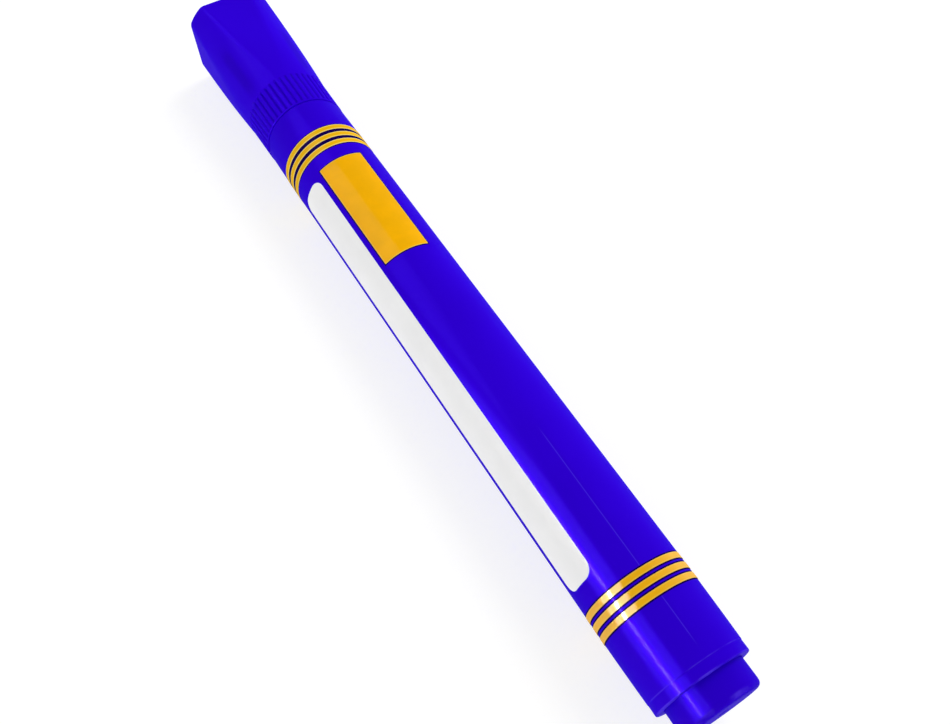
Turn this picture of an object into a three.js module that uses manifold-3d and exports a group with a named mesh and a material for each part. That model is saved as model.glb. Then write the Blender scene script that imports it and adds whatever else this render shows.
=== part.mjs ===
// Capped permanent marker with a round plastic barrel, lying on the flats of its cap.
// Every piece is turned about the marker's axis. Heights along that axis start at the seam where
// the cap's mouth meets the barrel, and grow towards the cap. Sizes are in millimetres.

import * as THREE from 'three';
import { mergeVertices } from 'three/addons/utils/BufferGeometryUtils.js';
import Module from 'manifold-3d';

// Barrel
const BARREL_LENGTH = 105.4;
const BARREL_RADIUS = 7.0;
const BARREL_WALL = 1.5;
const SEAM_TAPER_LENGTH = 6.3;
const SEAM_TAPER_DROP = 0.05;
const TAIL_TAPER_LENGTH = 15.0;
const TAIL_TAPER_DROP = 0.18;
const END_BAND_LENGTH = 1.5;
const END_BAND_STEP = 0.05;
const BARREL_EDGE = 0.18;

// Tail plug
const PLUG_LEDGE = 0.13;
const PLUG_DEPTH = 9.0;
const PLUG_STANDOUT = 3.75;
const PLUG_WALL = 1.1;
const PLUG_END_WALL = 1.3;
const PLUG_ROUNDING = 0.9;

// Front section that holds the nib and takes the cap
const SPIGOT_DEPTH = 8.0;
const SPIGOT_WALL = 1.2;
const COLLAR_HEIGHT = 1.2;
const NECK_HEIGHT = 4.4;
const COLLAR_STEP = 0.42;
const SNAP_BEAD_RISE = 0.15;
const SNAP_BEAD_WIDTH = 1.2;
const SHOULDER_HEIGHT = 1.8;
const SHOULDER_DROP = 1.38;
const NOSE_HEIGHT = 6.5;
const NOSE_TAPER_DROP = 0.35;
const NOSE_EDGE = 0.7;
const NIB_GUIDE_LENGTH = 7.2;

// Nib
const NIB_RADIUS = 2.1;
const NIB_STANDOUT = 3.6;
const NIB_BULLET_LENGTH = 2.7;
const NIB_TAIL_DEPTH = 8.5;
const NIB_POINT_LENGTH = 2.4;
const NIB_POINT_RADIUS = 0.7;

// Ink reservoir and the film round it
const FILM_THICKNESS = 0.12;
const FILM_END_INSET = 1.5;
const WICK_POCKET_SPARE = 0.4;

// Cap
const CAP_LENGTH = 31.0;
const CAP_MOUTH_STEP = 0.08;
const CAP_GRIP_RISE = 0.12;
const CAP_END_RADIUS = 8.42;
const CAP_FLARE_BEND = 0.85;
const CAP_END_ACROSS_FLATS = 14.3;
const CAP_FLATS_START = 11.5;
const CAP_END_WALL = 2.5;
const CAP_RIM_EDGE = 0.45;
const CAP_LIP = 0.66;
const CAP_LIP_DEPTH = 1.5;
const CAP_MOUTH_EDGE = 0.12;
const RIB_COUNT = 44;
const RIB_DEPTH = 0.2;
const RIB_BAND_START = 0.25;
const RIB_BAND_LENGTH = 6.8;
const RIB_RUNOUT = 0.15;

// Inner cap that seals the nib
const INNER_CAP_WALL = 0.8;
const INNER_CAP_FLANGE_HEIGHT = 1.0;
const INNER_CAP_LENGTH = 16.4;
const INNER_CAP_TAPER_DROP = 0.2;

// Printed foil on the barrel
const FOIL_THICKNESS = 0.06;
const RING_COUNT = 3;
const FRONT_RING_WIDTH = 1.0;
const FRONT_RING_GAP = 0.75;
const FRONT_RINGS_FROM_SEAM = 6.75;
const TAIL_RING_WIDTH = 0.86;
const TAIL_RING_GAP = 0.63;
const TAIL_RINGS_FROM_END = 10.0;
const GOLD_PANEL_LENGTH = 21.3;
const GOLD_PANEL_WIDTH = 7.4;
const GOLD_PANEL_FROM_SEAM = 14.1;
const GOLD_PANEL_TURN = 2.35;
const WHITE_PANEL_WIDTH = 5.6;
const WHITE_PANEL_FROM_SEAM = 14.7;
const WHITE_PANEL_TAIL_GAP = 2.8;
const WHITE_PANEL_CORNER = 1.6;
const PANEL_GAP = 1.0;

// Clearances
const PRESS_CLEARANCE = 0.03;
const SEAT_CLEARANCE = 0.02;
const CAP_CLEARANCE = 0.07;
const SEAL_CLEARANCE = 0.1;
const SEAM_GAP = 0.1;
const NIB_CLEARANCE = 0.04;
const RESERVOIR_CLEARANCE = 0.05;
const FILM_AIR_GAP = 0.27;
const RESERVOIR_END_GAP = 0.25;
const FOIL_CLEARANCE = 0.02;

// Facets round the axis
const SEGMENTS = 48;
const NIB_SEGMENTS = 24;
const CAP_SEGMENTS = 2 * RIB_COUNT;
const ARC_STEPS = 5;
const TAPER_STEPS = 4;
const FLARE_STEPS = 6;
const PANEL_STEP_DEGREES = 4;
const BULLET_STEPS = 6;

// Sizes that follow from the driving ones
const tailEnd = -BARREL_LENGTH;
const seamRadius = BARREL_RADIUS - SEAM_TAPER_DROP;
const boreRadius = BARREL_RADIUS - BARREL_WALL;
const tailBoreRadius = boreRadius + PLUG_LEDGE;
const plugRadius = tailBoreRadius - PRESS_CLEARANCE;
const plugEnd = tailEnd - PLUG_STANDOUT;
const plugLedge = tailEnd + PLUG_DEPTH;

const capMouth = SEAM_GAP;
const capEnd = capMouth + CAP_LENGTH;
const capMouthRadius = seamRadius + CAP_MOUTH_STEP;
const gripTopRadius = capMouthRadius + CAP_GRIP_RISE;
const ribsBottom = capMouth + RIB_BAND_START;
const ribsTop = ribsBottom + RIB_BAND_LENGTH;
const gripTop = ribsTop + RIB_RUNOUT;

const lipBoreRadius = seamRadius - CAP_LIP;
const collarRadius = lipBoreRadius - CAP_CLEARANCE;
const neckRadius = collarRadius - COLLAR_STEP;
const snapBeadRadius = neckRadius + SNAP_BEAD_RISE;
const noseRadius = neckRadius - SHOULDER_DROP;
const noseTipRadius = noseRadius - NOSE_TAPER_DROP;
const neckTop = COLLAR_HEIGHT + NECK_HEIGHT;
const shoulderTop = neckTop + SHOULDER_HEIGHT;
const noseTop = shoulderTop + NOSE_HEIGHT;
const nibBoreRadius = NIB_RADIUS + NIB_CLEARANCE;
const nibTip = noseTop + NIB_STANDOUT;

const reservoirFront = -SPIGOT_DEPTH - RESERVOIR_END_GAP;
const reservoirBack = plugLedge + RESERVOIR_END_GAP;
const filmRadius = boreRadius - FILM_AIR_GAP;
const filmBoreRadius = filmRadius - FILM_THICKNESS;
const reservoirRadius = filmBoreRadius - RESERVOIR_CLEARANCE;
const nibTail = reservoirFront - NIB_TAIL_DEPTH;

const capBoreRadius = snapBeadRadius + CAP_CLEARANCE;
const innerCapMouth = shoulderTop + SEAL_CLEARANCE;
const innerCapSeat = innerCapMouth + INNER_CAP_FLANGE_HEIGHT;
const innerCapBoreRadius = noseRadius + SEAL_CLEARANCE;
const innerCapRadius = innerCapBoreRadius + INNER_CAP_WALL;
const innerCapEnd = innerCapMouth + INNER_CAP_LENGTH;
const innerCapHousingRadius = innerCapRadius + PRESS_CLEARANCE;

const frontRingsStart = -FRONT_RINGS_FROM_SEAM - ringSetWidth(FRONT_RING_WIDTH, FRONT_RING_GAP);
const tailRingsStart = tailEnd + TAIL_RINGS_FROM_END;
const tailRingsEnd = tailRingsStart + ringSetWidth(TAIL_RING_WIDTH, TAIL_RING_GAP);
const whitePanelLength = -WHITE_PANEL_FROM_SEAM - tailRingsEnd - WHITE_PANEL_TAIL_GAP;
const panelSpacing = (GOLD_PANEL_WIDTH + WHITE_PANEL_WIDTH) / 2 + PANEL_GAP;
const whitePanelTurn = GOLD_PANEL_TURN + THREE.MathUtils.radToDeg(panelSpacing / BARREL_RADIUS);

const axisHeight = flareRadius(capMouth + CAP_FLATS_START);
const middle = (plugEnd + capEnd) / 2;

// Colours and finishes
const GLOSSY_BLUE = { color: 0x2a00cc, roughness: 0.22, metalness: 0 };
const SATIN_BLUE = { color: 0x2400b0, roughness: 0.35, metalness: 0 };
const GOLD_FOIL = { color: 0xfab800, roughness: 0.3, metalness: 0.2 };
const WHITE_FOIL = { color: 0xf2f2f4, roughness: 0.35, metalness: 0 };
const INKED_FIBRE = { color: 0x1c0a7a, roughness: 0.95, metalness: 0 };
const INKED_FELT = { color: 0x140650, roughness: 0.9, metalness: 0 };
const CLEAR_FILM = { color: 0xe8e8ee, roughness: 0.4, metalness: 0 };
const NATURAL_PLASTIC = { color: 0xd8d8de, roughness: 0.5, metalness: 0 };

function ringSetWidth(width, gap) {
  return RING_COUNT * width + (RING_COUNT - 1) * gap;
}

// The cap widens a little along its grip band, and more from there to its end, soonest at first
function flareRadius(height) {
  if (height < gripTop) {
    return capMouthRadius + CAP_GRIP_RISE * (height - capMouth) / (gripTop - capMouth);
  }
  const share = (height - gripTop) / (capEnd - gripTop);
  return gripTopRadius + (CAP_END_RADIUS - gripTopRadius) * share ** CAP_FLARE_BEND;
}

// Profile points go outwards and upwards round the solid: [radius, height]
function turned(profile, segments = SEGMENTS, start = 0) {
  const points = profile.map(([radius, height]) => new THREE.Vector2(radius, height));
  return new THREE.LatheGeometry(points, segments, start);
}

function closedLoop(profile) {
  return [...profile, profile[0]];
}

// A rounded edge from one point of a profile to another, bulging to the outer corner
function roundedEdge([fromRadius, fromHeight], [toRadius, toHeight], steps = ARC_STEPS) {
  const points = [];
  for (let step = 0; step <= steps; step += 1) {
    const angle = (step / steps) * (Math.PI / 2);
    const radius = fromRadius + (toRadius - fromRadius) * Math.sin(angle);
    const height = fromHeight + (toHeight - fromHeight) * (1 - Math.cos(angle));
    points.push([radius, height]);
  }
  return points;
}

// The barrel narrows to the tail in a shallow curve that ends at the end band
function tailTaper() {
  const points = [];
  const run = TAIL_TAPER_LENGTH - END_BAND_LENGTH;
  for (let step = 0; step <= TAPER_STEPS; step += 1) {
    const share = step / TAPER_STEPS;
    const radius = BARREL_RADIUS - TAIL_TAPER_DROP * (1 - share) ** 2;
    points.push([radius, tailEnd + END_BAND_LENGTH + run * share]);
  }
  return points;
}

function barrel() {
  const endBandRadius = BARREL_RADIUS - TAIL_TAPER_DROP - END_BAND_STEP;
  return turned(closedLoop([
    [tailBoreRadius, tailEnd],
    [endBandRadius - BARREL_EDGE, tailEnd],
    [endBandRadius, tailEnd + BARREL_EDGE],
    [endBandRadius, tailEnd + END_BAND_LENGTH],
    ...tailTaper(),
    [BARREL_RADIUS, -SEAM_TAPER_LENGTH],
    [seamRadius, -BARREL_EDGE],
    [seamRadius - BARREL_EDGE, 0],
    [boreRadius, 0],
    [boreRadius, plugLedge],
    [tailBoreRadius, plugLedge],
  ]));
}

// A cup pressed into the tail, seated on the ledge inside the barrel
function tailPlug() {
  const rim = plugLedge - SEAT_CLEARANCE;
  const hollowRadius = plugRadius - PLUG_WALL;
  return turned([
    [0, plugEnd],
    ...roundedEdge([plugRadius - PLUG_ROUNDING, plugEnd], [plugRadius, plugEnd + PLUG_ROUNDING]),
    [plugRadius, rim],
    [hollowRadius, rim],
    [hollowRadius, plugEnd + PLUG_END_WALL],
    [0, plugEnd + PLUG_END_WALL],
  ]);
}

function frontSection() {
  const spigotRadius = boreRadius - PRESS_CLEARANCE;
  const hollowRadius = spigotRadius - SPIGOT_WALL;
  const beadMiddle = COLLAR_HEIGHT + NECK_HEIGHT / 2;
  const guideBottom = noseTop - NIB_GUIDE_LENGTH;
  const funnelBottom = guideBottom - (hollowRadius - nibBoreRadius);
  return turned(closedLoop([
    [hollowRadius, -SPIGOT_DEPTH],
    [spigotRadius, -SPIGOT_DEPTH],
    [spigotRadius, SEAT_CLEARANCE],
    [collarRadius, SEAT_CLEARANCE],
    [collarRadius, COLLAR_HEIGHT],
    [neckRadius, COLLAR_HEIGHT],
    [neckRadius, beadMiddle - SNAP_BEAD_WIDTH / 2],
    [snapBeadRadius, beadMiddle],
    [neckRadius, beadMiddle + SNAP_BEAD_WIDTH / 2],
    [neckRadius, neckTop],
    [noseRadius, shoulderTop],
    [noseTipRadius, noseTop - NOSE_EDGE],
    [noseTipRadius - NOSE_EDGE, noseTop],
    [nibBoreRadius, noseTop],
    [nibBoreRadius, guideBottom],
    [hollowRadius, funnelBottom],
  ]));
}

// A fibre rod: a blunt point stands in the reservoir, and a bullet tip writes
function nib() {
  const bulletStart = nibTip - NIB_BULLET_LENGTH;
  const profile = [
    [0, nibTail],
    [NIB_POINT_RADIUS, nibTail],
    [NIB_RADIUS, nibTail + NIB_POINT_LENGTH],
  ];
  for (let step = 0; step < BULLET_STEPS; step += 1) {
    const angle = (step / BULLET_STEPS) * (Math.PI / 2);
    profile.push([NIB_RADIUS * Math.cos(angle), bulletStart + NIB_BULLET_LENGTH * Math.sin(angle)]);
  }
  profile.push([0, nibTip]);
  return turned(profile, NIB_SEGMENTS);
}

function inkReservoir() {
  const pocketRadius = NIB_RADIUS + NIB_CLEARANCE;
  const pocketBottom = nibTail - WICK_POCKET_SPARE;
  return turned([
    [0, reservoirBack],
    [reservoirRadius, reservoirBack],
    [reservoirRadius, reservoirFront],
    [pocketRadius, reservoirFront],
    [pocketRadius, pocketBottom],
    [0, pocketBottom],
  ]);
}

function tube(innerRadius, outerRadius, bottom, top) {
  return turned(closedLoop([
    [innerRadius, bottom],
    [outerRadius, bottom],
    [outerRadius, top],
    [innerRadius, top],
  ]));
}

function reservoirFilm() {
  return tube(filmBoreRadius, filmRadius, reservoirBack + FILM_END_INSET, reservoirFront - FILM_END_INSET);
}

// The round flared cup, before its grip grooves and its flats
function roundCap() {
  const boreEnd = capEnd - CAP_END_WALL;
  const inside = [
    [0, boreEnd],
    [innerCapHousingRadius, boreEnd],
    [innerCapHousingRadius, innerCapSeat + SEAT_CLEARANCE],
    [capBoreRadius, innerCapSeat + SEAT_CLEARANCE],
    [capBoreRadius, capMouth + CAP_LIP_DEPTH],
    [lipBoreRadius, capMouth + CAP_LIP_DEPTH],
    [lipBoreRadius, capMouth],
  ];
  const outside = (height) => [flareRadius(height), height];
  const mouth = [[capMouthRadius - CAP_MOUTH_EDGE, capMouth], outside(ribsBottom)];
  const ribs = [outside(ribsBottom + RIB_RUNOUT), outside(ribsTop)];
  const flareRun = capEnd - CAP_RIM_EDGE - gripTop;
  const flare = [];
  for (let step = 0; step <= FLARE_STEPS; step += 1) {
    flare.push(outside(gripTop + flareRun * (step / FLARE_STEPS)));
  }
  const endFace = [[flareRadius(capEnd) - CAP_RIM_EDGE, capEnd], [0, capEnd]];
  const firstRib = inside.length + mouth.length;
  const profile = [...inside, ...mouth, ...ribs, ...flare, ...endFace];
  const ribbedRings = [firstRib, firstRib + 1];
  return { geometry: turned(profile, CAP_SEGMENTS), ringCount: profile.length, ribbedRings };
}

// Every second column of points sinks into a groove, which leaves the ribs standing
function cutGrooves({ geometry, ringCount, ribbedRings }) {
  const position = geometry.attributes.position;
  for (let column = 1; column < CAP_SEGMENTS; column += 2) {
    for (const ring of ribbedRings) {
      const vertex = column * ringCount + ring;
      const radius = Math.hypot(position.getX(vertex), position.getZ(vertex));
      const share = (radius - RIB_DEPTH) / radius;
      position.setX(vertex, position.getX(vertex) * share);
      position.setZ(vertex, position.getZ(vertex) * share);
    }
  }
  return geometry;
}

// Four planes that lean in towards the cap's end, with a bevel where they meet the end face
function flatsForm() {
  const endDistance = CAP_END_ACROSS_FLATS / 2;
  const startDistance = flareRadius(capMouth + CAP_FLATS_START);
  const lean = (startDistance - endDistance) / (CAP_LENGTH - CAP_FLATS_START);
  const mouthDistance = endDistance + lean * CAP_LENGTH;
  const corner = Math.SQRT2;
  return turned([
    [0, capMouth - CAP_RIM_EDGE],
    [(mouthDistance + lean * CAP_RIM_EDGE) * corner, capMouth - CAP_RIM_EDGE],
    [(endDistance + lean * CAP_RIM_EDGE) * corner, capEnd - CAP_RIM_EDGE],
    [(endDistance - CAP_RIM_EDGE) * corner, capEnd + CAP_RIM_EDGE],
    [0, capEnd + CAP_RIM_EDGE],
  ], 4, Math.PI / 4);
}

const manifold = await Module();
manifold.setup();

function toSolid(geometry) {
  const bare = geometry.clone();
  bare.deleteAttribute('normal');
  bare.deleteAttribute('uv');
  const merged = mergeVertices(bare);
  return new manifold.Manifold(new manifold.Mesh({
    numProp: 3,
    vertProperties: new Float32Array(merged.attributes.position.array),
    triVerts: new Uint32Array(merged.index.array),
  }));
}

function toGeometry(solid) {
  const mesh = solid.getMesh();
  const geometry = new THREE.BufferGeometry();
  geometry.setAttribute('position', new THREE.BufferAttribute(mesh.vertProperties, 3));
  geometry.setIndex(new THREE.BufferAttribute(mesh.triVerts, 1));
  return geometry;
}

function capShell() {
  const flared = toSolid(cutGrooves(roundCap()));
  return toGeometry(flared.intersect(toSolid(flatsForm())));
}

// A thin cup whose flange seats on the step inside the cap, and whose mouth closes on the nose
function innerCap() {
  const flangeRadius = capBoreRadius - PRESS_CLEARANCE;
  const boreEnd = innerCapEnd - INNER_CAP_WALL;
  return turned([
    [0, boreEnd],
    [innerCapBoreRadius - INNER_CAP_TAPER_DROP, boreEnd],
    [innerCapBoreRadius, innerCapMouth],
    [flangeRadius, innerCapMouth],
    [flangeRadius, innerCapSeat],
    [innerCapRadius, innerCapSeat],
    [innerCapRadius - INNER_CAP_TAPER_DROP, innerCapEnd],
    [0, innerCapEnd],
  ], RIB_COUNT);
}

function foilRing(bottom, width) {
  const innerRadius = BARREL_RADIUS + FOIL_CLEARANCE;
  return tube(innerRadius, innerRadius + FOIL_THICKNESS, bottom, bottom + width);
}

// A panel of foil wrapped on the barrel: columns of four points, each as long as the outline there
function foilPanel({ length, width, corner, fromSeam, turn }) {
  const innerRadius = BARREL_RADIUS + FOIL_CLEARANCE;
  const degrees = THREE.MathUtils.radToDeg(width / BARREL_RADIUS);
  const offsets = panelColumns(width, corner, Math.ceil(degrees / PANEL_STEP_DEGREES));
  const centre = -fromSeam - length / 2;
  const positions = [];
  for (const offset of offsets) {
    const angle = THREE.MathUtils.degToRad(turn) + offset / BARREL_RADIUS;
    const half = length / 2 - cornerInset(offset, width, corner);
    for (const [radius, height] of [
      [innerRadius, centre - half],
      [innerRadius + FOIL_THICKNESS, centre - half],
      [innerRadius + FOIL_THICKNESS, centre + half],
      [innerRadius, centre + half],
    ]) {
      positions.push(-radius * Math.sin(angle), height, radius * Math.cos(angle));
    }
  }
  return loft(positions, offsets.length);
}

// Distances across a panel, close together where a corner rounds
function panelColumns(width, corner, count) {
  const columns = [];
  for (let column = 0; column <= count; column += 1) {
    columns.push((column / count - 0.5) * width);
  }
  for (let step = 1; step < ARC_STEPS && corner > 0; step += 1) {
    const along = width / 2 - corner * (1 - Math.cos((step / ARC_STEPS) * (Math.PI / 2)));
    columns.push(-along, along);
  }
  return columns.sort((first, second) => first - second);
}

function cornerInset(offset, width, corner) {
  const into = Math.max(0, Math.abs(offset) - (width / 2 - corner));
  return corner - Math.sqrt(Math.max(0, corner ** 2 - into ** 2));
}

// Joins columns of four points into one closed body
function loft(positions, columnCount) {
  const indices = [0, 2, 1, 0, 3, 2];
  for (let column = 0; column < columnCount - 1; column += 1) {
    for (let side = 0; side < 4; side += 1) {
      const here = column * 4 + side;
      const next = column * 4 + ((side + 1) % 4);
      indices.push(here, next, here + 4, next, next + 4, here + 4);
    }
  }
  const last = (columnCount - 1) * 4;
  indices.push(last, last + 1, last + 2, last, last + 2, last + 3);
  const geometry = new THREE.BufferGeometry();
  geometry.setAttribute('position', new THREE.Float32BufferAttribute(positions, 3));
  geometry.setIndex(indices);
  return geometry;
}

const marker = new THREE.Group();

function addPiece(name, geometry, finish) {
  const mesh = new THREE.Mesh(geometry, new THREE.MeshStandardMaterial(finish));
  mesh.name = name;
  marker.add(mesh);
}

function addRings(name, start, width, gap) {
  for (let ring = 0; ring < RING_COUNT; ring += 1) {
    addPiece(`${name}_${ring + 1}`, foilRing(start + ring * (width + gap), width), GOLD_FOIL);
  }
}

addPiece('barrel', barrel(), GLOSSY_BLUE);
addPiece('tail_plug', tailPlug(), GLOSSY_BLUE);
addPiece('front_section', frontSection(), SATIN_BLUE);
addPiece('nib', nib(), INKED_FELT);
addPiece('ink_reservoir', inkReservoir(), INKED_FIBRE);
addPiece('reservoir_film', reservoirFilm(), CLEAR_FILM);
addPiece('cap_shell', capShell(), GLOSSY_BLUE);
addPiece('inner_cap', innerCap(), NATURAL_PLASTIC);
addRings('front_ring', frontRingsStart, FRONT_RING_WIDTH, FRONT_RING_GAP);
addRings('tail_ring', tailRingsStart, TAIL_RING_WIDTH, TAIL_RING_GAP);
addPiece('gold_panel', foilPanel({
  length: GOLD_PANEL_LENGTH,
  width: GOLD_PANEL_WIDTH,
  corner: 0,
  fromSeam: GOLD_PANEL_FROM_SEAM,
  turn: GOLD_PANEL_TURN,
}), GOLD_FOIL);
addPiece('white_panel', foilPanel({
  length: whitePanelLength,
  width: WHITE_PANEL_WIDTH,
  corner: WHITE_PANEL_CORNER,
  fromSeam: WHITE_PANEL_FROM_SEAM,
  turn: whitePanelTurn,
}), WHITE_FOIL);

// The marker lies along X with its cap towards +X, on the flats of the cap
marker.rotation.z = -Math.PI / 2;
marker.position.set(-middle, 0, axisHeight);

export default marker;
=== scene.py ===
# A permanent marker, dressed for a picture: smooth pieces with moulded, printed and fibre
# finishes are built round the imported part, in metres and in the part's own frame.
import math

import bmesh
import bpy
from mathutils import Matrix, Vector


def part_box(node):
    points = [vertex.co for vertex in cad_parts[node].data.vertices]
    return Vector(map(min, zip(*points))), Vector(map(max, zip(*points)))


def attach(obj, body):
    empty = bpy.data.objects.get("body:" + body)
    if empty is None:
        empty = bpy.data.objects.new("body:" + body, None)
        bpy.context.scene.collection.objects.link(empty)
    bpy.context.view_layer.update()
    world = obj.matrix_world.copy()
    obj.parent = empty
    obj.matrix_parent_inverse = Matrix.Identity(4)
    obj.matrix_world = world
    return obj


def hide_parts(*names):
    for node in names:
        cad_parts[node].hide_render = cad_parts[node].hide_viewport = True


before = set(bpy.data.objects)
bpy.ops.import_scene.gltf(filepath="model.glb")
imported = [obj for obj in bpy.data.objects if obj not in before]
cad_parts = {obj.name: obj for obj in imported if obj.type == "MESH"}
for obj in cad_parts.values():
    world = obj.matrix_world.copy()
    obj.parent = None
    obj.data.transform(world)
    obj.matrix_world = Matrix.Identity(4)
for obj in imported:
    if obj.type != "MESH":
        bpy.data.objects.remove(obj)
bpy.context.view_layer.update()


# Barrel
# One thin tube of glossy violet-blue plastic, moulded over a long core. It is drawn in a little at
# both ends, and a shallow step marks the band where the mould parts at the tail.
MM = 0.001
BARREL_LENGTH = 105.4
BARREL_RADIUS = 7.0
BARREL_BORE = 5.5
SEAM_RADIUS = 6.95
SEAM_TAPER = 6.3
TAIL_TAPER = 15.0
TAIL_DROP = 0.18
END_BAND = 1.5
END_BAND_STEP = 0.05
END_BAND_RUN = 0.08
BARREL_EDGE = 0.18
PLUG_BORE = 5.63
PLUG_DEPTH = 9.0
SEAT_PLAY = 0.02
PRESS_PLAY = 0.03
TURN_COLUMNS = 192
ARC_POINTS = 5
TAPER_POINTS = 10
SHARP_DEGREES = 32
BARREL_BLUE = (48, 0, 221)
TRAP_NAVY = (16, 0, 78)
PALE_LINE_AND_HIGHLIGHT_VIOLET = (104, 74, 248)
SHEEN_VIOLET = (150, 60, 255)
SEAM_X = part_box("barrel")[1].x
AXIS_Z = (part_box("barrel")[0].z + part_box("barrel")[1].z) / 2


def linear(colour):
    """An opaque colour in Blender's linear numbers, from the 0 to 255 that a screen shows."""
    return tuple(((c / 255 + 0.055) / 1.055) ** 2.4 if c > 10 else c / 255 / 12.92 for c in colour) + (1.0,)


def at(height, radius, turn):
    """A point in the frame. Heights in mm start at the seam; turns start upwards and go towards +Y."""
    return (SEAM_X + height * MM, radius * MM * math.sin(turn), AXIS_Z + radius * MM * math.cos(turn))


def softened(corners):
    """A profile of (height, radius, edge) corners, each rounded where it has an edge size."""
    points = []
    for index, (height, radius, edge) in enumerate(corners):
        if not edge:
            points.append((height, radius))
            continue
        before = corners[index - 1]
        after = corners[(index + 1) % len(corners)]
        ends = []
        for other in (before, after):
            reach = edge / math.hypot(other[0] - height, other[1] - radius)
            ends.append((height + (other[0] - height) * reach, radius + (other[1] - radius) * reach))
        for step in range(ARC_POINTS + 1):
            share = step / ARC_POINTS
            weights = ((1 - share) ** 2, 2 * share * (1 - share), share ** 2)
            points.append(tuple(
                weights[0] * ends[0][axis] + weights[1] * (height, radius)[axis] + weights[2] * ends[1][axis]
                for axis in (0, 1)))
    return points


def solid(name, points, faces):
    """A closed smooth mesh with its doubled points merged and its sharp edges kept sharp."""
    mesh = bpy.data.meshes.new(name)
    mesh.from_pydata(points, [], faces)
    shape = bmesh.new()
    shape.from_mesh(mesh)
    bmesh.ops.remove_doubles(shape, verts=shape.verts, dist=1e-7)
    bmesh.ops.recalc_face_normals(shape, faces=shape.faces)
    shape.to_mesh(mesh)
    shape.free()
    mesh.polygons.foreach_set("use_smooth", [True] * len(mesh.polygons))
    mesh.set_sharp_from_angle(angle=math.radians(SHARP_DEGREES))
    made = bpy.data.objects.new(name, mesh)
    bpy.context.scene.collection.objects.link(made)
    return made


def turned(name, rows, columns=TURN_COLUMNS):
    """Turns a closed profile about the axis. A row is (height, radius), or gives them for a turn."""
    count = len(rows)
    points = []
    faces = []
    for column in range(columns):
        turn = 2 * math.pi * column / columns
        after = (column + 1) % columns
        for row, spot in enumerate(rows):
            height, radius = spot(turn) if callable(spot) else spot
            points.append(at(height, radius, turn))
            above = (row + 1) % count
            faces.append((column * count + row, column * count + above,
                          after * count + above, after * count + row))
    return solid(name, points, faces)


class Shade:
    """A socket in a material's nodes. Sums on it add Math nodes; node() adds any other kind."""

    def __init__(self, tree, socket=None):
        self.tree = tree
        self.socket = socket

    def node(self, kind, settings=None, sockets=None, output=0):
        made = self.tree.nodes.new("ShaderNode" + kind)
        for name, value in (settings or {}).items():
            if name == "stops":
                ramp = made.color_ramp.elements
                while len(ramp) < len(value):
                    ramp.new(0.5)
                for stop, (place, colour) in zip(ramp, value):
                    stop.position = place
                    stop.color = colour
            else:
                setattr(made, name, value)
        for name, value in (sockets or {}).items():
            if isinstance(value, Shade):
                self.tree.links.new(value.socket, made.inputs[name])
            else:
                made.inputs[name].default_value = value
        return Shade(self.tree, made.outputs[output])

    def out(self, name):
        return Shade(self.tree, self.socket.node.outputs[name])

    def maths(self, operation, *values):
        return self.node("Math", {"operation": operation}, dict(enumerate(values)))

    def __add__(self, other):
        return self.maths("ADD", self, other)

    def __sub__(self, other):
        return self.maths("SUBTRACT", self, other)

    def __rsub__(self, other):
        return self.maths("SUBTRACT", other, self)

    def __mul__(self, other):
        return self.maths("MULTIPLY", self, other)

    __radd__ = __add__
    __rmul__ = __mul__

    def rise(self, low, high):
        """0 below low, 1 above high, and an even bend between them."""
        return self.node("MapRange", {"interpolation_type": "SMOOTHSTEP"},
                         {"Value": self, "From Min": low, "From Max": high})

    def band(self, low, high, soft):
        """1 from low to high, with soft borders outside."""
        return self.rise(low - soft, low) * (1 - self.rise(high, high + soft))

    def tint(self, mask, colour):
        """This colour, with another laid over it where the mask is 1."""
        return self.node("Mix", {"data_type": "RGBA"}, {0: mask, 6: self, 7: colour}, output=2)

    def noise(self, where, scale, detail=3.0):
        return self.node("TexNoise", {}, {"Vector": where, "Scale": scale, "Detail": detail,
                                          "Roughness": 0.55})


def finish_named(name, **uniform):
    """A material with one Principled shader, and the values that are the same all over set on it."""
    made = bpy.data.materials.new(name)
    made.use_nodes = True
    shader = made.node_tree.nodes["Principled BSDF"]
    for socket, value in uniform.items():
        shader.inputs[socket.replace("_", " ")].default_value = value
    return made, Shade(made.node_tree)


def feed(made, **links):
    """Links what varies over a surface to the Principled shader's sockets."""
    shader = made.node_tree.nodes["Principled BSDF"]
    for socket, value in links.items():
        made.node_tree.links.new(value.socket, shader.inputs[socket.replace("_", " ")])


def place_in(nodes):
    """The point on the piece, in metres."""
    return nodes.node("TexCoord", output="Object")


def spot_in(nodes):
    """The point on the piece, its height from the seam in mm, and its turn round the axis in degrees."""
    place = place_in(nodes)
    split = nodes.node("SeparateXYZ", {}, {0: place})
    height = (split - SEAM_X) * (1 / MM)
    turn = nodes.maths("ARCTAN2", split.out("Y"), split.out("Z") - AXIS_Z) * math.degrees(1)
    return place, height, turn


def drawn_out(nodes, place, along):
    """The same place, stretched along the marker for marks that run lengthwise."""
    return nodes.node("Mapping", {}, {"Vector": place, "Scale": (1 / along, 1.0, 1.0)})


def clouded(nodes, cloud, colour, share):
    """A colour with clouds in it of the same colour at a share of its strength."""
    return nodes.node("Mix", {"data_type": "RGBA"}, {
        0: cloud.rise(0.3, 0.7), 6: linear(colour), 7: linear([c * share for c in colour])}, output=2)


def worn_gloss(nodes, place, low, high):
    """Roughness of handled gloss plastic: cloudy, with fine rubbed lines along the marker."""
    cloud = nodes.noise(place, 120.0)
    lines = nodes.noise(drawn_out(nodes, place, 30.0), 2600.0, 2.0)
    return (cloud * 0.6 + lines * 0.4) * (high - low) + low


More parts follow.
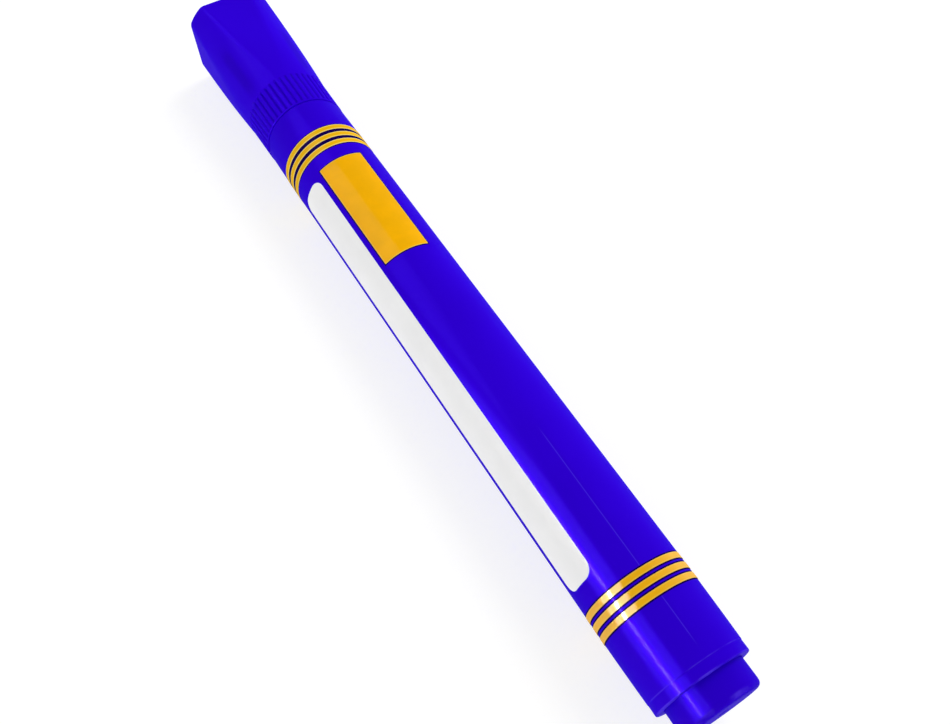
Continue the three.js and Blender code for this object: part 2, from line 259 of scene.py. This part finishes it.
def blue_plastic(name, colour, low, high, peel=0.05):
    """Deep violet-blue moulded plastic with a faint skin. Returns the material and what paints it."""
    made, nodes = finish_named(name, Metallic=0.1, Specular_IOR_Level=0.0, Specular_Tint=linear(SHEEN_VIOLET),
                               Coat_Weight=0.03, Coat_Roughness=0.05, Coat_IOR=1.5)
    place, height, turn = spot_in(nodes)
    blue = clouded(nodes, nodes.noise(place, 45.0, 2.0), colour, 0.965)
    skin = nodes.noise(place, 900.0, 2.0)
    bump = nodes.node("Bump", {}, {"Strength": peel, "Distance": 0.0002, "Height": skin})
    feed(made, Base_Color=blue, Roughness=worn_gloss(nodes, place, low, high), Normal=bump)
    return made, blue, height, turn


def edge_highlight_patches(height, turn, low, high, soft):
    """Where a painted highlight lies along an edge between two heights: patches of it, broken up round the
    axis.
    """
    unrolled = height.node("CombineXYZ", {}, {0: height * 0.4, 1: turn * 0.025, 2: 0.0})
    return height.band(low, high, soft) * height.noise(unrolled, 1.0, 4.0).rise(0.35, 0.65)


def dress(piece, made, body, slot, *nodes):
    """Gives a piece its finish and its body, and lets it stand for CAD nodes."""
    piece.data.materials.append(made)
    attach(piece, body)
    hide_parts(*nodes)


def tail_profile():
    """The barrel's outside from its end band up the shallow curve of the tail."""
    end_radius = BARREL_RADIUS - TAIL_DROP - END_BAND_STEP
    corners = [
        (-BARREL_LENGTH, PLUG_BORE, 0.1),
        (-BARREL_LENGTH, end_radius, BARREL_EDGE),
        (END_BAND - BARREL_LENGTH, end_radius, 0.03),
        (END_BAND - BARREL_LENGTH + END_BAND_RUN, end_radius + END_BAND_STEP, 0.03),
    ]
    run = TAIL_TAPER - END_BAND
    for step in range(1, TAPER_POINTS + 1):
        share = step / TAPER_POINTS
        radius = BARREL_RADIUS - TAIL_DROP * (1 - share) ** 2
        corners.append((END_BAND - BARREL_LENGTH + run * share, radius, 0))
    return corners


barrel = turned("barrel_tube", softened([
    *tail_profile(),
    (-SEAM_TAPER, BARREL_RADIUS, 0.6),
    (0, SEAM_RADIUS, BARREL_EDGE),
    (0, BARREL_BORE, 0.1),
    (PLUG_DEPTH - BARREL_LENGTH, BARREL_BORE, 0),
    (PLUG_DEPTH - BARREL_LENGTH, PLUG_BORE, 0),
]))

# The gold prints have a dark trapping line under their borders, which fills the gaps of the front rings.
# A faint pale line runs along the barrel near the tail, and painted highlights lie in patches along both
# edges of the end band.
FRONT_RINGS_FROM_SEAM = 6.75
FRONT_RING_WIDTH = 1.0
FRONT_RING_GAP = 0.75
TAIL_RINGS_FROM_END = 10.0
TAIL_RING_WIDTH = 0.86
TAIL_RING_GAP = 0.63
GOLD_PANEL_LENGTH = 21.3
GOLD_PANEL_WIDTH = 7.4
GOLD_PANEL_FROM_SEAM = 14.1
GOLD_PANEL_TURN = 2.35
TRAP_LINE = 0.18
TRAP_SOFT = 0.04
PALE_LINE_TURN = 0.5
PALE_LINE_HALF = 0.25
PALE_LINE_HEIGHTS = (-100.0, -72.0)
PALE_LINE_STRENGTH = 0.22
END_EDGE_HIGHLIGHT = 0.5
BAND_EDGE_HIGHLIGHT = 0.3
end_edge = -BARREL_LENGTH
band_edge = END_BAND - BARREL_LENGTH
front_rings_end = -FRONT_RINGS_FROM_SEAM
front_rings_start = front_rings_end - 3 * FRONT_RING_WIDTH - 2 * FRONT_RING_GAP
tail_rings_start = TAIL_RINGS_FROM_END - BARREL_LENGTH
tail_ring_step = TAIL_RING_WIDTH + TAIL_RING_GAP

barrel_gloss, blue, height, turn = blue_plastic("barrel_blue_plastic", BARREL_BLUE, 0.16, 0.26)
trap = height.band(front_rings_start - TRAP_LINE, front_rings_end + TRAP_LINE, TRAP_SOFT)
for index in range(3):
    start = tail_rings_start + index * tail_ring_step
    trap = trap.maths("MAXIMUM", trap,
                      height.band(start - TRAP_LINE, start + TAIL_RING_WIDTH + TRAP_LINE, TRAP_SOFT))
half_turn = math.degrees((GOLD_PANEL_WIDTH / 2 + TRAP_LINE) / BARREL_RADIUS)
panel_trap = (height.band(-GOLD_PANEL_FROM_SEAM - GOLD_PANEL_LENGTH - TRAP_LINE,
                          TRAP_LINE - GOLD_PANEL_FROM_SEAM, TRAP_SOFT)
              * turn.band(GOLD_PANEL_TURN - half_turn, GOLD_PANEL_TURN + half_turn, 0.3))
trap = trap.maths("MAXIMUM", trap, panel_trap)
pale_line = (turn.band(PALE_LINE_TURN - PALE_LINE_HALF, PALE_LINE_TURN + PALE_LINE_HALF, 0.5)
             * height.band(*PALE_LINE_HEIGHTS, 3.0))
# Painted highlights: pale violet patches along the barrel's end edge and the end band's step, laid on with
# the pale line.
pale_line_and_highlights = (pale_line * PALE_LINE_STRENGTH
        + edge_highlight_patches(height, turn, end_edge - 0.1, end_edge + 0.12, 0.12) * END_EDGE_HIGHLIGHT
        + edge_highlight_patches(height, turn, band_edge + 0.04, band_edge + 0.1, 0.08) * BAND_EDGE_HIGHLIGHT)
blue = blue.tint(pale_line_and_highlights, linear(PALE_LINE_AND_HIGHLIGHT_VIOLET)).tint(trap, linear(TRAP_NAVY))
feed(barrel_gloss, Base_Color=blue)
dress(barrel, barrel_gloss, "barrel", "barrel_plastic", "barrel")


# Tail plug
# A cup of the same blue plastic, pressed into the barrel's tail until its ledge seats. The rounded
# end stands out of the barrel, and a small mark at its middle is where the mould was filled.
PLUG_RADIUS = 5.6
PLUG_STANDOUT = 3.75
PLUG_ROUNDING = 0.9
PLUG_WALL = 1.1
PLUG_END_WALL = 1.3
GATE_RADIUS = 0.7
GATE_DEPTH = 0.15
PLUG_BLUE = (46, 0, 212)
PLUG_EDGE_HIGHLIGHT = 0.4
plug_end = -BARREL_LENGTH - PLUG_STANDOUT
plug_rim = PLUG_DEPTH - BARREL_LENGTH - SEAT_PLAY

plug = turned("tail_plug_cup", softened([
    (plug_end + GATE_DEPTH, 0, 0),
    (plug_end + GATE_DEPTH, GATE_RADIUS, 0.08),
    (plug_end, GATE_RADIUS + 0.1, 0.05),
    (plug_end, PLUG_RADIUS, PLUG_ROUNDING),
    (plug_rim, PLUG_RADIUS, 0.15),
    (plug_rim, PLUG_RADIUS - PLUG_WALL, 0.1),
    (plug_end + PLUG_END_WALL, PLUG_RADIUS - PLUG_WALL, 0.3),
    (plug_end + PLUG_END_WALL, 0, 0),
]))
plug_gloss, blue, height, turn = blue_plastic("plug_blue_plastic", PLUG_BLUE, 0.18, 0.3)
# Painted highlight: pale violet patches where the plug's rounded end begins.
plug_edge_highlight = edge_highlight_patches(height, turn, plug_end + 0.3, plug_end + 0.55, 0.25)
feed(plug_gloss, Base_Color=blue.tint(plug_edge_highlight * PLUG_EDGE_HIGHLIGHT, linear(PALE_LINE_AND_HIGHLIGHT_VIOLET)))
dress(plug, plug_gloss, "barrel", "barrel_plastic", "tail_plug")


# Ink reservoir and its film
# A bundle of crimped fibre soaked with ink, wrapped in thin film and pushed up the barrel. The closed
# barrel hides both, so the part's own solids stay and get fibre and film finishes.
def mottled(mask, dark, pale, low=0.3, high=0.7):
    """A colour that wanders from dark to pale as the mask goes from low to high."""
    return mask.node("ValToRGB", {"stops": [(low, linear(dark)), (high, linear(pale))]}, {0: mask})


def finish_solid(node, made):
    """Gives one of the part's own solids its finish."""
    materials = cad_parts[node].data.materials
    materials.clear()
    materials.append(made)


fibre, nodes = finish_named("inked_fibre", Specular_IOR_Level=0.2)
strand = nodes.noise(drawn_out(nodes, place_in(nodes), 14.0), 1800.0, 4.0)
feed(fibre, Base_Color=mottled(strand, (20, 6, 96), (44, 18, 150)),
     Roughness=strand * 0.2 + 0.75,
     Normal=nodes.node("Bump", {}, {"Strength": 0.5, "Distance": 0.0002, "Height": strand}))
finish_solid("ink_reservoir", fibre)

film, nodes = finish_named("wrap_film", Specular_IOR_Level=0.5)
crinkle = nodes.noise(drawn_out(nodes, place_in(nodes), 5.0), 500.0)
feed(film, Base_Color=mottled(crinkle, (196, 196, 214), (232, 232, 240), 0.2, 0.8),
     Roughness=crinkle * 0.2 + 0.2,
     Normal=nodes.node("Bump", {}, {"Strength": 0.4, "Distance": 0.0002, "Height": crinkle}))
finish_solid("reservoir_film", film)


# Front section
# A stiffer satin moulding that is pressed into the barrel's mouth: spigot, collar, the neck with the
# bead that the cap snaps over, a shoulder, and the nose that grips the nib.
SPIGOT_DEPTH = 8.0
SPIGOT_WALL = 1.2
COLLAR_RADIUS = 6.22
COLLAR_HEIGHT = 1.2
NECK_RADIUS = 5.8
NECK_TOP = 5.6
BEAD_RADIUS = 5.95
BEAD_WIDTH = 1.2
SHOULDER_TOP = 7.4
NOSE_RADIUS = 4.42
NOSE_TIP_RADIUS = 4.07
NOSE_TOP = 13.9
NOSE_EDGE = 0.7
NIB_BORE = 2.14
GUIDE_LENGTH = 7.2
FRONT_BLUE = (44, 0, 196)
spigot_radius = BARREL_BORE - PRESS_PLAY
hollow_radius = spigot_radius - SPIGOT_WALL
bead_middle = (COLLAR_HEIGHT + NECK_TOP) / 2
guide_bottom = NOSE_TOP - GUIDE_LENGTH

front = turned("front_holder", softened([
    (-SPIGOT_DEPTH, hollow_radius, 0.1),
    (-SPIGOT_DEPTH, spigot_radius, 0.3),
    (SEAT_PLAY, spigot_radius, 0),
    (SEAT_PLAY, COLLAR_RADIUS, 0.08),
    (COLLAR_HEIGHT, COLLAR_RADIUS, 0.16),
    (COLLAR_HEIGHT, NECK_RADIUS, 0.12),
    (bead_middle - BEAD_WIDTH / 2, NECK_RADIUS, 0.1),
    (bead_middle, BEAD_RADIUS, 0.45),
    (bead_middle + BEAD_WIDTH / 2, NECK_RADIUS, 0.1),
    (NECK_TOP, NECK_RADIUS, 0.35),
    (SHOULDER_TOP, NOSE_RADIUS, 0.4),
    (NOSE_TOP, NOSE_TIP_RADIUS, NOSE_EDGE),
    (NOSE_TOP, NIB_BORE, 0.12),
    (guide_bottom, NIB_BORE, 0),
    (guide_bottom - hollow_radius + NIB_BORE, hollow_radius, 0),
]))
front_satin = blue_plastic("front_satin_plastic", FRONT_BLUE, 0.3, 0.42, 0.1)[0]
dress(front, front_satin, "barrel", "front_plastic", "front_section")


# Nib
# A rod of bonded fibre, ground to a bullet. It is soaked with ink: darkest at the tip, and paler
# where it dries at the nose. Its tail stands in the reservoir.
NIB_RADIUS = 2.1
NIB_TIP = 17.5
NIB_BULLET = 2.7
NIB_TAIL = -16.75
NIB_POINT_LENGTH = 2.4
NIB_POINT_RADIUS = 0.7
BULLET_POINTS = 16

bullet = [
    (NIB_TIP - NIB_BULLET * (1 - math.sin(step / BULLET_POINTS * math.pi / 2)),
     NIB_RADIUS * math.cos(step / BULLET_POINTS * math.pi / 2), 0)
    for step in range(BULLET_POINTS)
]
nib = turned("fibre_nib", softened([
    (NIB_TAIL, 0, 0),
    (NIB_TAIL, NIB_POINT_RADIUS, 0.2),
    (NIB_TAIL + NIB_POINT_LENGTH, NIB_RADIUS, 0.3),
    *bullet,
    (NIB_TIP, 0, 0),
]), columns=96)
felt, nodes = finish_named("inked_felt", Specular_IOR_Level=0.15)
place, height, turn = spot_in(nodes)
strand = nodes.noise(drawn_out(nodes, place, 10.0), 3600.0, 4.0)
wet = height.rise(NOSE_TOP, NIB_TIP)
feed(felt, Base_Color=mottled(strand, (16, 6, 70), (46, 26, 150)).tint(wet * 0.6, linear((12, 4, 58))),
     Roughness=1 - wet * 0.25,
     Normal=nodes.node("Bump", {}, {"Strength": 0.6, "Distance": 0.0001, "Height": strand}))
dress(nib, felt, "barrel", "nib_felt", "nib")


# Cap
# A satin-gloss moulding that snaps over the neck. A band of fine grooves at its mouth gives grip,
# and it flares from there to four flats that keep the marker from rolling.
CAP_MOUTH = 0.1
CAP_LENGTH = 31.0
CAP_MOUTH_RADIUS = 7.03
GRIP_RISE = 0.12
CAP_END_RADIUS = 8.42
FLARE_BEND = 0.85
END_FLAT = 7.15
FLATS_START = 11.5
FLAT_EDGE = 0.3
RIM_EDGE = 0.5
MOUTH_EDGE = 0.12
CAP_LIP_BORE = 6.29
CAP_LIP_DEPTH = 1.5
CAP_BORE = 6.02
HOUSING_RADIUS = 5.35
HOUSING_START = 8.52
CAP_END_WALL = 2.5
RIB_COUNT = 44
RIB_DEPTH = 0.26
RIB_START = 0.25
RIB_LENGTH = 6.8
RIB_RUN = 0.35
GROOVE_SHARE = 0.17
GRIP_MARGIN = 0.15
CAP_COLUMNS = 12 * RIB_COUNT
RIM_POINTS = 8
CAP_BLUE = (50, 0, 228)
PAINTED_SHADE_NAVY = (26, 0, 128)
RIB_SHADE = 0.26
CORNER_SHADE = 0.22
CORNER_SHADE_HEIGHTS = (11.0, 17.0)
cap_end = CAP_MOUTH + CAP_LENGTH
ribs_bottom = CAP_MOUTH + RIB_START
ribs_top = ribs_bottom + RIB_LENGTH
grip_top = ribs_top + GRIP_MARGIN
grip_top_radius = CAP_MOUTH_RADIUS + GRIP_RISE


def cone(height):
    """The round flare: slight along the grip band, and steeper from there to the end."""
    if height < grip_top:
        return CAP_MOUTH_RADIUS + GRIP_RISE * (height - CAP_MOUTH) / (grip_top - CAP_MOUTH)
    share = (height - grip_top) / (cap_end - grip_top)
    return grip_top_radius + (CAP_END_RADIUS - grip_top_radius) * share ** FLARE_BEND


def bend(value):
    """0 below 0, 1 above 1, and an even bend between them."""
    value = min(1.0, max(0.0, value))
    return value * value * (3 - 2 * value)


def outline(height, turn):
    """The cap's outside: the flare, cut by four leaning flats with softened edges, and grooved."""
    start = cone(CAP_MOUTH + FLATS_START)
    flat = start + (END_FLAT - start) * (height - CAP_MOUTH - FLATS_START) / (CAP_LENGTH - FLATS_START)
    quarter = math.pi / 2
    off = (turn + quarter / 2) % quarter - quarter / 2
    radius = cone(height)
    cut = flat / math.cos(off)
    overlap = max(0.0, FLAT_EDGE - abs(radius - cut)) / FLAT_EDGE
    if height > ribs_top:
        radius = min(radius, cut) - overlap * overlap * FLAT_EDGE / 4
    pitch = 2 * math.pi / RIB_COUNT
    across = (turn / pitch) % 1.0 - 0.5
    band = bend((height - ribs_bottom) / RIB_RUN) * bend((ribs_top - height) / RIB_RUN)
    return radius - RIB_DEPTH * band * math.exp(-(across / GROOVE_SHARE) ** 2)


def outside(height, inset=0.0, share=1.0):
    """A row of the cap's outside, set in by a distance, or drawn in to a share of the outline."""
    return lambda turn: (height, (outline(height, turn) - inset) * share)


def spaced(low, high, step):
    """Even heights from just above low up to high, about a step apart."""
    count = max(1, round((high - low) / step))
    return [low + (high - low) * index / count for index in range(1, count + 1)]


cap_rows = [outside(CAP_MOUTH + MOUTH_EDGE * (1 - math.sin(angle)), MOUTH_EDGE * (1 - math.cos(angle)))
            for angle in (math.pi / 2, math.pi / 3, math.pi / 6)]
cap_rows.append(outside(CAP_MOUTH + MOUTH_EDGE))
for low, high, step in (
        (CAP_MOUTH + MOUTH_EDGE, ribs_bottom, 0.1),
        (ribs_bottom, ribs_bottom + RIB_RUN, 0.06),
        (ribs_bottom + RIB_RUN, ribs_top - RIB_RUN, 1.0),
        (ribs_top - RIB_RUN, grip_top, 0.06),
        (grip_top, cap_end - RIM_EDGE, 0.2)):
    cap_rows += [outside(height) for height in spaced(low, high, step)]
for step in range(1, RIM_POINTS + 1):
    angle = step / RIM_POINTS * math.pi / 2
    cap_rows.append(outside(cap_end - RIM_EDGE * (1 - math.sin(angle)), RIM_EDGE * (1 - math.cos(angle))))
cap_rows += [outside(cap_end, RIM_EDGE, share) for share in (0.9, 0.6, 0.2)]
cap_rows += [(cap_end, 0)]
cap_rows += softened([
    (cap_end - CAP_END_WALL, 0, 0),
    (cap_end - CAP_END_WALL, HOUSING_RADIUS, 0.3),
    (HOUSING_START, HOUSING_RADIUS, 0.1),
    (HOUSING_START, CAP_BORE, 0.1),
    (CAP_MOUTH + CAP_LIP_DEPTH, CAP_BORE, 0.05),
    (CAP_MOUTH + CAP_LIP_DEPTH, CAP_LIP_BORE, 0.05),
    (CAP_MOUTH, CAP_LIP_BORE, 0.1),
])
cap = turned("cap_moulding", cap_rows, columns=CAP_COLUMNS)
cap_satin, blue, height, turn = blue_plastic("cap_blue_plastic", CAP_BLUE, 0.2, 0.3, 0.08)

# Painted shade darkens the grooves, and soft painted shade lies at each corner where the flats run out.
ribs = (turn + 360) * (RIB_COUNT / 360)
across = ribs.maths("FRACT", ribs) - 0.5
groove_painted_shade = ((1 - across.maths("ABSOLUTE", across).rise(0.06, 0.3))
          * height.band(ribs_bottom + 0.2, ribs_top - 0.1, 0.3))
quarters = (turn + 360) * (1 / 90)
from_corner = (quarters.maths("FRACT", quarters) - 0.5) * 90
corner_painted_shade = ((1 - from_corner.maths("ABSOLUTE", from_corner).rise(2.0, 11.0))
          * height.band(*CORNER_SHADE_HEIGHTS, 4.5))
blue = blue.tint(corner_painted_shade * CORNER_SHADE, linear(PAINTED_SHADE_NAVY))
feed(cap_satin, Base_Color=blue.tint(groove_painted_shade * RIB_SHADE, linear(PAINTED_SHADE_NAVY)))
dress(cap, cap_satin, "cap", "cap_plastic", "cap_shell")


# Inner cap
# A thin cup of natural polyethylene that is pressed into the cap. Its flange seats on a step, and its
# mouth closes on the nose so that the ink doesn't dry.
SEAL_MOUTH = 7.5
SEAL_SEAT = 8.5
SEAL_BORE = 4.52
SEAL_WALL = 0.8
SEAL_END = 23.9
SEAL_TAPER = 0.2

seal = turned("seal_cup", softened([
    (SEAL_END - SEAL_WALL, 0, 0),
    (SEAL_END - SEAL_WALL, SEAL_BORE - SEAL_TAPER, 0.3),
    (SEAL_MOUTH, SEAL_BORE, 0.15),
    (SEAL_MOUTH, CAP_BORE - PRESS_PLAY, 0.1),
    (SEAL_SEAT, CAP_BORE - PRESS_PLAY, 0.1),
    (SEAL_SEAT, SEAL_BORE + SEAL_WALL, 0.05),
    (SEAL_END, SEAL_BORE + SEAL_WALL - SEAL_TAPER, 0.3),
    (SEAL_END, 0, 0),
]))
natural, nodes = finish_named("natural_polyethylene", Subsurface_Weight=0.3, Subsurface_Scale=0.002)
haze = nodes.noise(place_in(nodes), 160.0)
feed(natural, Base_Color=mottled(haze, (208, 208, 214), (228, 228, 232)), Roughness=haze * 0.15 + 0.4)
dress(seal, natural, "cap", "seal_plastic", "inner_cap")


# Printed rings
# Hot-stamped rings of golden foil, three near the cap and three near the tail. The foil is glossy
# over the pigment, and its edges run paler where it thins out.
FOIL_INSIDE = 7.005
FOIL_OUTSIDE = 7.045
FOIL_EDGE = 0.015
FOIL_PALE = (255, 226, 120)
FRONT_GOLD = (242, 184, 4)
FRONT_COAT = 0.05
FRONT_PALE_SHARE = 1.0
TAIL_GOLD = (246, 182, 4)
TAIL_COAT = 0.25
TAIL_PALE_SHARE = 0.2
PALE_BORDER = 0.2


def gold_foil(name, colour, pale_edges, coat):
    """Golden foil under a clear coat, paler along its borders, where pale_edges is above 0."""
    made, nodes = finish_named(name, Metallic=coat * 0.22, Specular_IOR_Level=0.0,
                               Coat_Weight=coat, Coat_Roughness=0.12, Coat_IOR=3.0)
    place, height, turn = spot_in(nodes)
    cloud = nodes.noise(place, 260.0)
    gold = clouded(nodes, cloud, colour, 0.96)
    feed(made, Base_Color=gold.tint(pale_edges(height, turn), linear(FOIL_PALE)),
         Roughness=cloud * 0.12 + 0.3)
    return made


def ring(name, low, width, colour, pale, coat):
    """One ring of foil from a height up, with its borders paler by a share."""
    def borders(height, turn):
        return (1 - height.band(low + PALE_BORDER, low + width - PALE_BORDER, 0.14)) * pale

    piece = turned(name.replace("ring", "ring_foil"), softened([
        (low, FOIL_INSIDE, 0),
        (low, FOIL_OUTSIDE, FOIL_EDGE),
        (low + width, FOIL_OUTSIDE, FOIL_EDGE),
        (low + width, FOIL_INSIDE, 0),
    ]))
    dress(piece, gold_foil(name + "_foil", colour, borders, coat), "barrel", "gold_foil", name)


for index in range(3):
    ring(f"front_ring_{index + 1}", front_rings_start + index * (FRONT_RING_WIDTH + FRONT_RING_GAP),
         FRONT_RING_WIDTH, FRONT_GOLD, FRONT_PALE_SHARE, FRONT_COAT)
    ring(f"tail_ring_{index + 1}", tail_rings_start + index * tail_ring_step,
         TAIL_RING_WIDTH, TAIL_GOLD, TAIL_PALE_SHARE, TAIL_COAT)


# Printed panels
# A plain golden panel near the cap, and a long light panel with rounded corners beside it. Both are
# stamped on the barrel like the rings.
WHITE_PANEL_WIDTH = 5.6
WHITE_PANEL_FROM_SEAM = 14.7
WHITE_PANEL_TAIL_GAP = 2.8
WHITE_PANEL_CORNER = 1.6
PANEL_GAP = 1.0
GOLD_PANEL_CORNER = 0.12
PANEL_GOLD = (252, 182, 2)
PANEL_COAT = 0.045
PANEL_PALE_SHARE = 0.6
PANEL_COLUMNS = 48
PANEL_LENGTH_STEPS = 24


def panel(name, low, high, width, corner_painted_shade, middle_turn):
    """A sheet of foil on the barrel, built in columns along the marker that end on its outline."""
    offsets = [(-math.cos(math.pi * k / PANEL_COLUMNS)) * width / 2 for k in range(PANEL_COLUMNS + 1)]
    points = []
    faces = []
    rows = PANEL_LENGTH_STEPS + 1
    for offset in offsets:
        into = max(0.0, abs(offset) - (width / 2 - corner_painted_shade))
        inset = corner_painted_shade - math.sqrt(max(0.0, corner_painted_shade ** 2 - into ** 2))
        for radius in (FOIL_INSIDE, FOIL_OUTSIDE):
            for row in range(rows):
                height = low + inset + (high - low - 2 * inset) * row / PANEL_LENGTH_STEPS
                points.append(at(height, radius, math.radians(middle_turn) + offset / BARREL_RADIUS))
    loop = [*range(rows), *range(2 * rows - 1, rows - 1, -1)]
    for column in range(PANEL_COLUMNS):
        here = column * 2 * rows
        there = here + 2 * rows
        for first, second in zip(loop, loop[1:] + loop[:1]):
            faces.append((here + first, here + second, there + second, there + first))
    for start in (0, PANEL_COLUMNS * 2 * rows):
        faces += [(start + row, start + row + 1, start + rows + row + 1, start + rows + row)
                  for row in range(PANEL_LENGTH_STEPS)]
    return solid(name, points, faces)


gold_low = -GOLD_PANEL_FROM_SEAM - GOLD_PANEL_LENGTH
gold_panel = panel("gold_panel_foil", gold_low, -GOLD_PANEL_FROM_SEAM, GOLD_PANEL_WIDTH, GOLD_PANEL_CORNER,
                   GOLD_PANEL_TURN)
gold_half = math.degrees(GOLD_PANEL_WIDTH / 2 / BARREL_RADIUS)


def panel_borders(height, turn):
    """The golden panel's paler borders."""
    inside = (height.band(gold_low + 0.14, -GOLD_PANEL_FROM_SEAM - 0.14, 0.12)
              * turn.band(GOLD_PANEL_TURN - gold_half + 1.2, GOLD_PANEL_TURN + gold_half - 1.2, 1.0))
    return (1 - inside) * PANEL_PALE_SHARE


dress(gold_panel, gold_foil("gold_panel_print", PANEL_GOLD, panel_borders, PANEL_COAT),
      "barrel", "gold_foil", "gold_panel")

white_low = tail_rings_start + 3 * TAIL_RING_WIDTH + 2 * TAIL_RING_GAP + WHITE_PANEL_TAIL_GAP
white_across = (GOLD_PANEL_WIDTH + WHITE_PANEL_WIDTH) / 2 + PANEL_GAP
white_turn = GOLD_PANEL_TURN + math.degrees(white_across / BARREL_RADIUS)
white_panel = panel("white_panel_foil", white_low, -WHITE_PANEL_FROM_SEAM, WHITE_PANEL_WIDTH,
                    WHITE_PANEL_CORNER, white_turn)
white, nodes = finish_named("white_print", Coat_Weight=0.1, Coat_Roughness=0.2, Specular_IOR_Level=0.0)
cloud = nodes.noise(place_in(nodes), 180.0)
feed(white, Base_Color=mottled(cloud, (249, 249, 249), (254, 254, 254)), Roughness=cloud * 0.15 + 0.35)
dress(white_panel, white, "barrel", "white_foil", "white_panel")


# Table
# A plain white surface that the marker lies on. Its own light brings it near white for the camera and
# in mirrors, and the paper colour under that keeps the marker's soft shadow.
TABLE_HALF = 1.2
TABLE_WHITE_SHARE = 0.66
TABLE_GLOW = 1.15
TABLE_TINT = (1.0, 1.0, 0.982, 1.0)
PAPER_WHITE = (0.96, 0.96, 0.96, 1.0)
table = solid("table", [(-TABLE_HALF, -TABLE_HALF, 0), (TABLE_HALF, -TABLE_HALF, 0),
                        (TABLE_HALF, TABLE_HALF, 0), (-TABLE_HALF, TABLE_HALF, 0)], [(0, 1, 2, 3)])
made = bpy.data.materials.new("table_white")
made.use_nodes = True
nodes = Shade(made.node_tree)
made.node_tree.nodes.remove(made.node_tree.nodes["Principled BSDF"])
ray = nodes.node("LightPath")
mirrored = ray.maths("MAXIMUM", ray.out("Is Glossy Ray"), ray.out("Is Transmission Ray"))
seen = ray.maths("MAXIMUM", ray.out("Is Camera Ray"), mirrored)
paper = nodes.node("BsdfDiffuse", {}, {"Color": PAPER_WHITE})
glow = nodes.node("Emission", {}, {"Color": TABLE_TINT, "Strength": TABLE_GLOW})
mixed = nodes.node("MixShader", {}, {0: seen * TABLE_WHITE_SHARE, 1: paper, 2: glow})
made.node_tree.links.new(mixed.socket, made.node_tree.nodes["Material Output"].inputs["Surface"])
table.data.materials.append(made)


# Studio
# A pale room with bright walls, a dim ceiling, and a big soft lamp to the right of the marker as the
# camera sees it. Glossy surfaces show a dimmer room instead, with a bright panel and a narrow tube in
# it on the marker's left, and a fainter panel beyond the cap.
CEILING_LIGHT = 0.26
WALL_LIGHT = 1.25
LEFT_LIGHT = 0.15
CEILING_GLOSS = 0.1
HORIZON_GLOSS = 0.6
FRONT_GLOSS = 1.5
PANEL_GLOSS = 4.5
TUBE_GLOSS = 42.0
LEFT_PANEL = ((60.0, 110.0, 5.0), (2.0, 49.0, 7.0))
LEFT_TUBE = ((70.0, 100.0, 6.0), (21.0, 26.0, 1.5))
FRONT_PANEL = ((5.0, 45.0, 8.0), (36.0, 54.0, 7.0))
KEY_PLACE = Vector((0.15, -0.45, 0.55))
KEY_SIZE = 0.35
KEY_WATTS = 2.2
world = bpy.data.worlds.new("studio")
bpy.context.scene.world = world
world.use_nodes = True
nodes = Shade(world.node_tree)
way = nodes.node("SeparateXYZ", {}, {0: nodes.node("TexCoord", output="Generated")})
azimuth = nodes.maths("ARCTAN2", way.out("Y"), way) * math.degrees(1)
elevation = nodes.maths("ARCSINE", way.out("Z")) * math.degrees(1)
low = 1 - elevation.rise(0.0, 75.0)


def patch(around, above):
    """A patch of the sky: from and to round the horizon, its softness there, and the same upwards."""
    return azimuth.band(*around) * elevation.band(*above)


gloss = (patch(*LEFT_PANEL) * PANEL_GLOSS + patch(*LEFT_TUBE) * TUBE_GLOSS + patch(*FRONT_PANEL) * FRONT_GLOSS
         + low * low * HORIZON_GLOSS + CEILING_GLOSS)
room = low * (way.out("Y") * LEFT_LIGHT + (WALL_LIGHT - CEILING_LIGHT)) + CEILING_LIGHT
ray = nodes.node("LightPath")
seen = ray.maths("MAXIMUM", ray.out("Is Camera Ray"), ray.out("Is Transmission Ray"))
strength = seen + (1 - seen) * (ray.out("Is Glossy Ray") * gloss + (1 - ray.out("Is Glossy Ray")) * room)
sky = world.node_tree.nodes["Background"]
sky.inputs["Color"].default_value = (1.0, 1.0, 1.0, 1.0)
world.node_tree.links.new(strength.socket, sky.inputs["Strength"])

light = bpy.data.lights.new("key_lamp", "AREA")
light.shape = "DISK"
light.size = KEY_SIZE
light.energy = KEY_WATTS
key = bpy.data.objects.new("key_lamp", light)
key.location = KEY_PLACE
key.rotation_euler = (-KEY_PLACE).to_track_quat("-Z", "Y").to_euler()
key.visible_glossy = False
bpy.context.scene.collection.objects.link(key)


# Camera
# It stands close over the tail end of the marker, level, and looks down along it towards the cap. Its
# place, its turns in degrees and its lens in mm come from fitting the barrel's outlines and the rings.
CAMERA_PLACE = (-0.07578, 0.03717, 0.12186)
CAMERA_TURNS = (32.24, 0.0, -121.44)
CAMERA_LENS = 35.92
view = bpy.data.cameras.new("view")
view.sensor_width = 36.0
view.lens = CAMERA_LENS
view.clip_start = 0.005
camera = bpy.data.objects.new("view", view)
camera.location = CAMERA_PLACE
camera.rotation_euler = [math.radians(turn) for turn in CAMERA_TURNS]
bpy.context.scene.collection.objects.link(camera)
bpy.context.scene.camera = camera
bpy.context.scene.view_settings.view_transform = "Standard"
